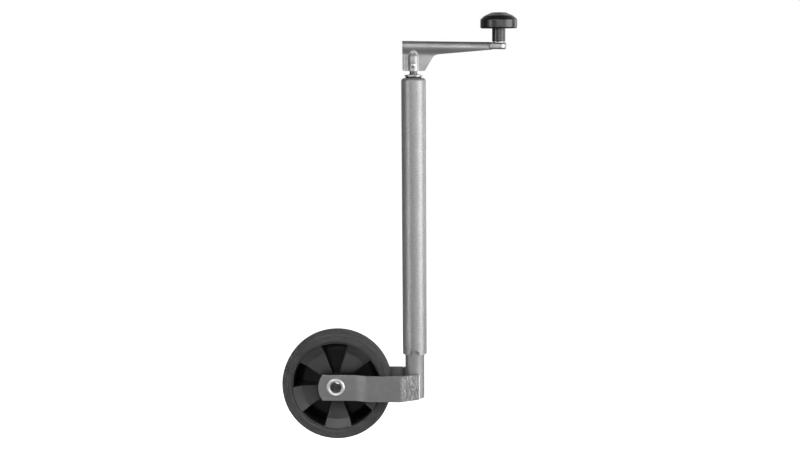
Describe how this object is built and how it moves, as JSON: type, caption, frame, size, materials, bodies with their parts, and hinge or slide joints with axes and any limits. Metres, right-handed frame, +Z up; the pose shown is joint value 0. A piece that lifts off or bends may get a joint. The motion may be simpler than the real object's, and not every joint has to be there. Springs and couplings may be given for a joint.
{
  "type": "trailer jockey wheel",
  "caption": "Trailer jockey wheel with a crank-driven telescopic tube, a swivelling fork and a solid-tyred wheel, held by a clamp round its outer tube.",
  "frame": {"origin": "on the tubes' common axis, halfway up the outer tube", "axes": "+Z up along the tubes, +X from the tubes to the crank knob at rest; the wheel trails at -X and its axle runs along Y"},
  "size_m": [0.467, 0.081, 0.8465],
  "materials": {
    "silver_paint": "hammered silver paint",
    "zinc_tube": "satin zinc plating",
    "zinc_sheet": "satin zinc plating",
    "bright_zinc": "bright zinc plating",
    "weld_metal": "weld bead, zinc plated",
    "dark_steel": "oiled black steel",
    "hardened_steel": "ground steel",
    "brass": "machined brass",
    "white_nylon": "greased nylon",
    "dark_plastic": "matt black plastic",
    "knob_plastic": "semi-gloss black plastic",
    "rim_plastic": "satin black plastic",
    "tyre_rubber": "solid rubber, matt"
  },
  "bodies": {
    "mast": {"outer_tube": "silver_paint", "top_bush": "dark_plastic", "upper_race": "hardened_steel", "lower_guide_bush": "white_nylon"},
    "balls": {"bearing_cage": "brass", "bearing_balls": "hardened_steel"},
    "screw": {"spindle": "dark_steel", "lower_race": "hardened_steel", "spindle_collar": "dark_steel", "collar_pin": "hardened_steel", "top_washer": "bright_zinc", "retaining_clip": "dark_steel", "end_stop_washer": "bright_zinc", "end_stop_nut": "bright_zinc", "crank_arm": "zinc_sheet", "crank_pin": "bright_zinc", "knob_rivet": "bright_zinc", "knob_washer": "bright_zinc"},
    "knob": {"knob": "knob_plastic", "knob_cap": "knob_plastic"},
    "nut": {"spindle_nut": "brass"},
    "leg": {"inner_tube": "zinc_tube", "upper_guide_ring": "white_nylon", "nut_snap_ring": "dark_steel", "fork_bar_left": "zinc_sheet", "fork_bar_right": "zinc_sheet", "fork_welds": "weld_metal", "axle_tube": "zinc_tube"},
    "wheel": {"wheel_rim": "rim_plastic", "tyre": "tyre_rubber"}
  },
  "joints": [
    {"name": "crank_turn", "type": "hinge", "parent": "mast", "child": "screw", "pos_m": [0, 0, 0], "axis": [0, 0, -1], "range_deg": [-2520, 15480]},
    {"name": "ball_orbit", "type": "hinge", "parent": "mast", "child": "balls", "pos_m": [0, 0, 0], "axis": [0, 0, -1], "range_deg": [-1264, 7744]},
    {"name": "jack_lift", "type": "slide", "parent": "mast", "child": "nut", "axis": [0, 0, -1], "range_m": [-0.0352, 0.2152]},
    {"name": "castor_swivel", "type": "hinge", "parent": "nut", "child": "leg", "pos_m": [0, 0, 0], "axis": [0, 0, 1], "continuous": true},
    {"name": "wheel_spin", "type": "hinge", "parent": "leg", "child": "wheel", "pos_m": [-0.1565, 0, -0.3375], "axis": [0, 1, 0], "continuous": true},
    {"name": "knob_spin", "type": "hinge", "parent": "screw", "child": "knob", "pos_m": [0.165, 0, 0.37], "axis": [0, 0, 1], "continuous": true}
  ],
  "couplings": [
    {"joint": "ball_orbit", "follows": "crank_turn", "ratio": 0.5},
    {"joint": "jack_lift", "follows": "crank_turn", "m_per_rad": 0.00079577}
  ]
}
